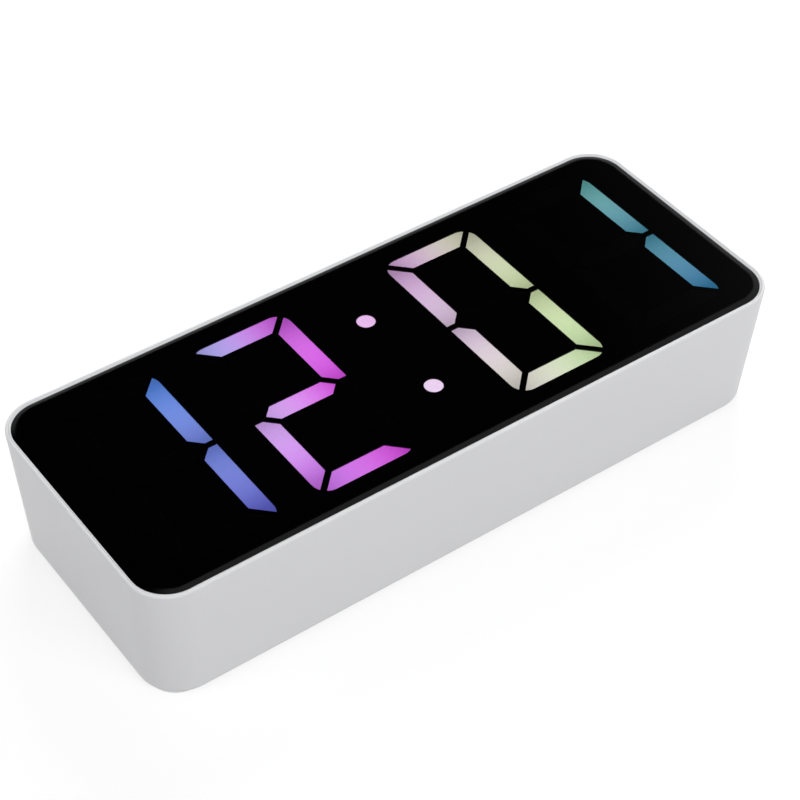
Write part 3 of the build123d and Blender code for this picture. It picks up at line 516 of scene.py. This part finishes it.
def make_lit_segments(name, centre, top, middle, bottom):
    """Each row is one colour, or its left and its right colour."""
    tree, shader = new_finish(name)
    inputs = {"Centre": centre}
    for row, colours in zip(rows, (top, middle, bottom)):
        inputs["Left " + row] = paint(*colours[0])
        inputs["Right " + row] = paint(*colours[-1])
    glow = use_group(tree, segment_glow, inputs)["Color"]
    feed(tree, shader.inputs["Emission Color"], glow)
    shader.inputs["Emission Strength"].default_value = lamp_strength
    feed(tree, shader.inputs["Base Color"], scale(tree, glow, unlit_share))
    shader.inputs["Roughness"].default_value = plug_roughness


make_lit_segments(
    "segment_blue", -colon_pitch / 2 - digit_pitch,
    top=[(84, 130, 214)], middle=[(110, 128, 211)], bottom=[(92, 96, 192)],
)
make_lit_segments(
    "segment_magenta", -colon_pitch / 2,
    top=[(170, 166, 230), (200, 94, 215)],
    middle=[(208, 164, 234), (216, 84, 224)],
    bottom=[(200, 114, 226), (206, 72, 211)],
)
make_lit_segments(
    "segment_lime", colon_pitch / 2,
    top=[(198, 158, 200), (199, 200, 173)],
    middle=[(211, 188, 211), (198, 213, 163)],
    bottom=[(216, 212, 200), (195, 219, 164)],
)
make_lit_segments(
    "segment_teal", colon_pitch / 2 + digit_pitch,
    top=[(95, 160, 158)], middle=[(71, 136, 155)], bottom=[(53, 121, 159)],
)
print("lit segments", [name for name in finishes if name.startswith("segment")])

# %% [markdown]
# The colon's two dots are plugs of the same plastic over one lamp each. They are small enough
# to look evenly lit, so a pale pink that changes from dot to dot, with the plastic's specks,
# is all that they need.

# %% Colon dots
dot_y = 11.4 * mm
upper_pink = paint(231, 186, 233)
lower_pink = paint(234, 209, 236)


def make_colon_dots():
    tree, shader = new_finish("segment_pink")
    position = place(tree, "TexCoord").outputs["Object"]
    upper = spread(tree, axis_part(tree, position, "Y"), -dot_y, dot_y)
    pink = blend(tree, upper, lower_pink, upper_pink)
    powder = place(tree, "TexNoise", {"Vector": position, "Scale": 1 / powder_size, "Detail": 2.0})
    bright = spread(tree, powder.outputs["Fac"], noise_low, noise_high, 1 - powder_share, 1 + powder_share)
    lit = scale(tree, pink, bright)
    feed(tree, shader.inputs["Emission Color"], lit)
    shader.inputs["Emission Strength"].default_value = lamp_strength
    feed(tree, shader.inputs["Base Color"], scale(tree, lit, unlit_share))
    shader.inputs["Roughness"].default_value = plug_roughness


make_colon_dots()
print("dots at y in mm:", [-dot_y / mm, dot_y / mm])

# %% [markdown]
# The circuit boards are glass-fibre sheet under green solder mask. Copper tracks show through
# the mask as paler lines, and bare pads are tinned. Cell patterns stand in for a real layout:
# the edges of square cells read as tracks, and small circles on a grid read as plated holes.

# %% Circuit boards
track_cell = 3.2 * mm
track_ring = 0.18
track_start = 0.15
track_full = 0.17
hole_pitch = 2.54 * mm
hole_rim = 0.24
hole_full = 0.2
hole_patch = 9 * mm
patch_start = 0.53
patch_full = 0.56
copper_height = 0.035 * mm
mask_roughness = 0.38
solder_roughness = 0.25
mask_green = paint(24, 92, 52)
track_green = paint(46, 128, 74)
solder = paint(206, 206, 200)


def make_board():
    tree, shader = new_finish("board_green")
    position = place(tree, "TexCoord").outputs["Object"]
    cells = place(
        tree,
        "TexVoronoi",
        {"Vector": position, "Scale": 1 / track_cell, "Randomness": 0.6},
        distance="CHEBYCHEV",
    )
    rings = count(tree, "PINGPONG", cells.outputs["Distance"], track_ring)
    tracks = spread(tree, rings, track_start, track_full)
    grid = place(tree, "TexVoronoi", {"Vector": position, "Scale": 1 / hole_pitch, "Randomness": 0.0})
    pads = spread(tree, grid.outputs["Distance"], hole_rim, hole_full)
    chosen = place(tree, "TexNoise", {"Vector": position, "Scale": 1 / hole_patch})
    patches = spread(tree, chosen.outputs["Fac"], patch_start, patch_full)
    bare = count(tree, "MULTIPLY", pads, patches)
    masked = blend(tree, tracks, mask_green, track_green)
    feed(tree, shader.inputs["Base Color"], blend(tree, bare, masked, solder))
    feed(tree, shader.inputs["Metallic"], bare)
    rough = spread(tree, bare, 0.0, 1.0, mask_roughness, solder_roughness)
    feed(tree, shader.inputs["Roughness"], rough)
    raise_surface(tree, shader, count(tree, "ADD", tracks, bare), copper_height)


make_board()
print("holes every", hole_pitch / mm, "mm")

# %% [markdown]
# Each lamp is a white moulded body with yellow phosphor on top. The side that faces up is
# found by its normal, which saves a second piece for something so small.

# %% Lamps
body_white = paint(235, 235, 230)
phosphor_pale = paint(236, 216, 120)
phosphor_deep = paint(226, 200, 96)
phosphor_grain = 0.5 * mm
phosphor_relief = 0.01 * mm
body_roughness = 0.45
phosphor_roughness = 0.2
side_face = 0.5
upper_face = 0.9


def make_lamps():
    tree, shader = new_finish("lamp_white")
    coordinates = place(tree, "TexCoord").outputs
    grain = place(tree, "TexNoise", {"Vector": coordinates["Object"], "Scale": 1 / phosphor_grain})
    phosphor = spread(tree, axis_part(tree, coordinates["Normal"], "Z"), side_face, upper_face)
    warm = blend(tree, grain.outputs["Fac"], phosphor_pale, phosphor_deep)
    feed(tree, shader.inputs["Base Color"], blend(tree, phosphor, body_white, warm))
    rough = spread(tree, phosphor, 0.0, 1.0, body_roughness, phosphor_roughness)
    feed(tree, shader.inputs["Roughness"], rough)
    raise_surface(tree, shader, grain.outputs["Fac"], phosphor_relief)


make_lamps()
print("phosphor grain", phosphor_grain / mm, "mm")

# %% [markdown]
# Each battery cell is a steel can in a plain lacquered sleeve with bare ends. The cells lie
# along X, so again the normal tells an end from the sleeve. The sleeve's faint bands are the
# overlaps of the film that it is wound from.

# %% Battery cells
sleeve_band = 2.4 * mm
sleeve_dark = paint(104, 122, 140)
sleeve_pale = paint(112, 130, 148)
rubbed_sleeve = paint(140, 148, 154)
can_steel = paint(200, 200, 198)
round_face = 0.6
end_face = 0.8
rubbed_share = 0.25
lacquer_metallic = 0.6
lacquer_roughness = 0.28
rubbed_roughness = 0.4


def make_cells():
    tree, shader = new_finish("cell_sleeve")
    coordinates = place(tree, "TexCoord").outputs
    end_on = count(tree, "ABSOLUTE", axis_part(tree, coordinates["Normal"], "X"))
    steel = spread(tree, end_on, round_face, end_face)
    lines = use_group(tree, drawn_lines, {"Pitch": 0.3 * mm})
    bands = place(
        tree, "TexWave", {"Vector": coordinates["Object"], "Scale": 1 / sleeve_band}, wave_profile="SAW"
    )
    sleeve = blend(tree, bands.outputs["Fac"], sleeve_dark, sleeve_pale)
    rubbed = blend(tree, count(tree, "MULTIPLY", lines["Tone"], rubbed_share), sleeve, rubbed_sleeve)
    feed(tree, shader.inputs["Base Color"], blend(tree, steel, rubbed, can_steel))
    feed(tree, shader.inputs["Metallic"], spread(tree, steel, 0.0, 1.0, lacquer_metallic, 1.0))
    rough = spread(tree, lines["Tone"], 0.0, 1.0, lacquer_roughness, rubbed_roughness)
    feed(tree, shader.inputs["Roughness"], rough)
    raise_surface(tree, shader, lines["Height"], line_depth)


make_cells()
print("all finishes", len(finishes))

# %% [markdown]
# Now every node gets its finish. The record names one slot for each node, so a loop over the
# record dresses them all, and a slot with no finish stops the script.

# %% Dress the nodes
for part in frame["record"]["subparts"]:
    nodes[part["node"]].material_slots[0].material = finishes[part["material_slot"]]

# %% [markdown]
# The four buttons on the back carry moulded signs that say what each is for without words: a
# ring to set, a bell for the alarm, and arrows up and down. Each outline is in units of half
# the sign's height, about the middle of the button's face and with +Y up. A point's handles
# say whether the outline runs round through it or turns a corner.

# %% Outlines of the signs
ring_hole = 0.6
clapper_radius = 0.25
clapper_y = -0.85


def circle_outline(radius, middle_y=0.0, points=4):
    turns = [2 * math.pi * point / points for point in range(points)]
    return [(radius * math.cos(turn), middle_y + radius * math.sin(turn), "AUTO") for turn in turns]


def arrow_outline(way):
    corners = [(-1.0, -0.6), (1.0, -0.6), (0.0, 1.0)]
    return [(x, way * y, "VECTOR") for x, y in corners]


def bell_outline():
    """Half a bell from its crown to its lip, and the same half mirrored."""
    half = [(0.2, 0.95, "AUTO"), (0.52, 0.6, "AUTO"), (0.6, 0.0, "AUTO"), (0.9, -0.5, "VECTOR")]
    return half + [(-x, y, handle) for x, y, handle in reversed(half)]


sign_outlines = {
    "set_button": [circle_outline(1.0), circle_outline(ring_hole)],
    "alarm_button": [bell_outline(), circle_outline(clapper_radius, clapper_y)],
    "up_button": [arrow_outline(1)],
    "down_button": [arrow_outline(-1)],
}
print("signs for", list(sign_outlines))

# %% [markdown]
# A sign is raised by the depth that such moulding has, with a small rounded edge. A filled
# curve gives that shape straight from its outline, with its hole, where a mesh would need its
# faces cut. Each sign rides on its own button, so it goes in when the button is pressed.

# %% Raise the signs
sign_size = 1.5 * mm
sign_height = 0.2 * mm
sign_sunk = 0.04 * mm
sign_edge = 0.04 * mm


def raise_sign(button, outlines):
    low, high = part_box(button)
    data = bpy.data.curves.new(button + "_sign", "CURVE")
    data.dimensions = "2D"
    data.fill_mode = "BOTH"
    data.extrude = (sign_height + sign_sunk) / 2 - sign_edge
    data.bevel_depth = sign_edge
    data.bevel_resolution = 2
    data.offset = -sign_edge
    for outline in outlines:
        spline = data.splines.new("BEZIER")
        spline.bezier_points.add(len(outline) - 1)
        for point, (x, y, handle) in zip(spline.bezier_points, outline):
            point.co = (x * sign_size, y * sign_size, 0)
            point.handle_left_type = handle
            point.handle_right_type = handle
        spline.use_cyclic_u = True
    data.materials.append(finishes["key_white"])
    sign = bpy.data.objects.new(button + "_sign", data)
    middle = (low + high) / 2
    sign.location = (middle.x, middle.y, low.z - (sign_height - sign_sunk) / 2)
    scene.collection.objects.link(sign)
    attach(sign, button)


for button, outlines in sign_outlines.items():
    raise_sign(button, outlines)
print("signs stand out", sign_height / mm, "mm")

# %% [markdown]
# The clock lies on a plain white floor, as large as a studio's. It has an opening under the
# clock's back, so that a view from below shows the buttons and the battery door. The opening
# follows the back face, a rounded rectangle, and a fan of faces joins it to the far edge.

# %% Floor
floor_radius = 4.0
floor_drop = 0.1 * mm
opening_inset = 2.6 * mm
opening_corner = 6 * mm
corner_steps = 8


def make_floor():
    low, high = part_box("housing")
    reach_x = high.x - opening_inset - opening_corner
    reach_y = high.y - opening_inset - opening_corner
    mesh = bmesh.new()
    inner = []
    outer = []
    for corner, (side_x, side_y) in enumerate([(1, 1), (-1, 1), (-1, -1), (1, -1)]):
        centre = Vector((side_x * reach_x, side_y * reach_y, 0))
        for step in range(corner_steps + 1):
            turn = math.pi / 2 * (corner + step / corner_steps)
            point = centre + Vector((math.cos(turn), math.sin(turn), 0)) * opening_corner
            inner.append(mesh.verts.new(point))
            outer.append(mesh.verts.new(point.normalized() * floor_radius))
    for here, after in zip(range(len(inner)), [*range(1, len(inner)), 0]):
        mesh.faces.new((inner[here], outer[here], outer[after], inner[after]))
    data = bpy.data.meshes.new("floor")
    mesh.to_mesh(data)
    mesh.free()
    made = bpy.data.objects.new("floor", data)
    made.location.z = -floor_drop
    scene.collection.objects.link(made)
    return made


floor = make_floor()
print("floor with", len(floor.data.polygons), "faces")

# %% [markdown]
# A camera ray, and a ray that a glossy or clear surface sends on, also sees a little light of
# the floor's own. So the floor reads as white paper, while it still takes the clock's shadow
# and lights the clock no more than grey paper would. Its underside is clear.

# %% Finish of the floor
floor_grey = 0.38
floor_glow = 0.7
floor_roughness = 0.9


def make_floor_finish():
    tree, shader = new_finish("floor_white")
    rays = place(tree, "LightPath").outputs
    seen = count(tree, "MAXIMUM", rays["Is Camera Ray"], rays["Is Glossy Ray"])
    seen = count(tree, "MAXIMUM", seen, rays["Is Transmission Ray"])
    shader.inputs["Base Color"].default_value = (floor_grey, floor_grey, floor_grey, 1.0)
    shader.inputs["Roughness"].default_value = floor_roughness
    shader.inputs["Specular IOR Level"].default_value = 0.0
    shader.inputs["Emission Color"].default_value = (1.0, 1.0, 1.0, 1.0)
    feed(tree, shader.inputs["Emission Strength"], count(tree, "MULTIPLY", seen, floor_glow))
    clear = place(tree, "BsdfTransparent").outputs[0]
    below = place(tree, "NewGeometry").outputs["Backfacing"]
    mixed = place(tree, "MixShader", {0: below, 1: shader.outputs[0], 2: clear})
    feed(tree, tree.nodes["Material Output"].inputs["Surface"], mixed.outputs[0])


make_floor_finish()
floor.data.materials.append(finishes["floor_white"])
print("floor glow", floor_glow)

# %% [markdown]
# The room is pale at the height of the floor and dimmer above it, because a glossy window
# shows whatever stands behind it in the mirror's direction. Two dark cloths hang there, as
# photographers hang them for black glass: one where the flat of the window looks, and one where
# the bevel at its left end looks. They stay in the room when the camera moves. They could be
# sheets of mesh, but in the world's own shader their edges can be as soft as needed.

# %% Room
horizon_light = 0.6
wall_light = 0.36
horizon_top = 0.08
wall_start = 0.22
cloth_light = 0.01
cloth_inner = math.radians(9.7)
cloth_outer = math.radians(26)
cloth_ways = [Vector((0.34, 0.63, 0.7)), Vector((-0.1, 0.55, 0.83))]


def make_room():
    world = bpy.data.worlds.new("studio")
    world.use_nodes = True
    tree = world.node_tree
    looking = place(tree, "TexCoord").outputs["Generated"]
    height = axis_part(tree, looking, "Z")
    room = spread(tree, height, horizon_top, wall_start, horizon_light, wall_light)
    for way in cloth_ways:
        toward = tuple(way.normalized())
        near = place(tree, "VectorMath", {0: looking, 1: toward}, operation="DOT_PRODUCT").outputs["Value"]
        cloth = spread(tree, near, math.cos(cloth_outer), math.cos(cloth_inner))
        # The sockets of a mix of plain numbers are 2 and 3
        room = place(tree, "Mix", {0: cloth, 2: room, 3: cloth_light}).outputs[0]
    background = tree.nodes["Background"].inputs
    feed(tree, background["Strength"], room)
    background["Color"].default_value = (1.0, 1.0, 1.0, 1.0)
    scene.world = world


make_room()
print("cloths", len(cloth_ways))

# %% [markdown]
# Three broad soft boxes do the rest. The key stands behind the right end, near enough to light
# the far rim more than the near one, and two fills light the front and the left side.
# A photographer would put a polarising filter on the lens to keep their glare off the window;
# here the boxes are left out of what the window mirrors and lets through.

# %% Soft boxes
soft_boxes = {
    "key": {"way": Vector((0.5, 0.63, 0.59)), "distance": 0.35, "width": 0.3, "power": 0.95},
    "front_fill": {"way": Vector((0.1, -0.84, 0.53)), "distance": 1.0, "width": 0.8, "power": 4.85},
    "side_fill": {"way": Vector((-0.85, 0.1, 0.52)), "distance": 1.0, "width": 0.8, "power": 2.7},
}


def make_soft_box(name, way, distance, width, power):
    """A round lamp that faces the clock: distance and width in metres, power in watts."""
    data = bpy.data.lights.new(name, "AREA")
    data.shape = "DISK"
    data.size = width
    data.energy = power
    box = bpy.data.objects.new(name, data)
    box.location = way.normalized() * distance
    box.rotation_euler = (-way).to_track_quat("-Z", "Y").to_euler()
    box.visible_camera = False
    box.visible_glossy = False
    box.visible_transmission = False
    scene.collection.objects.link(box)


for name, values in soft_boxes.items():
    make_soft_box(name, **values)
print("soft boxes", list(soft_boxes))
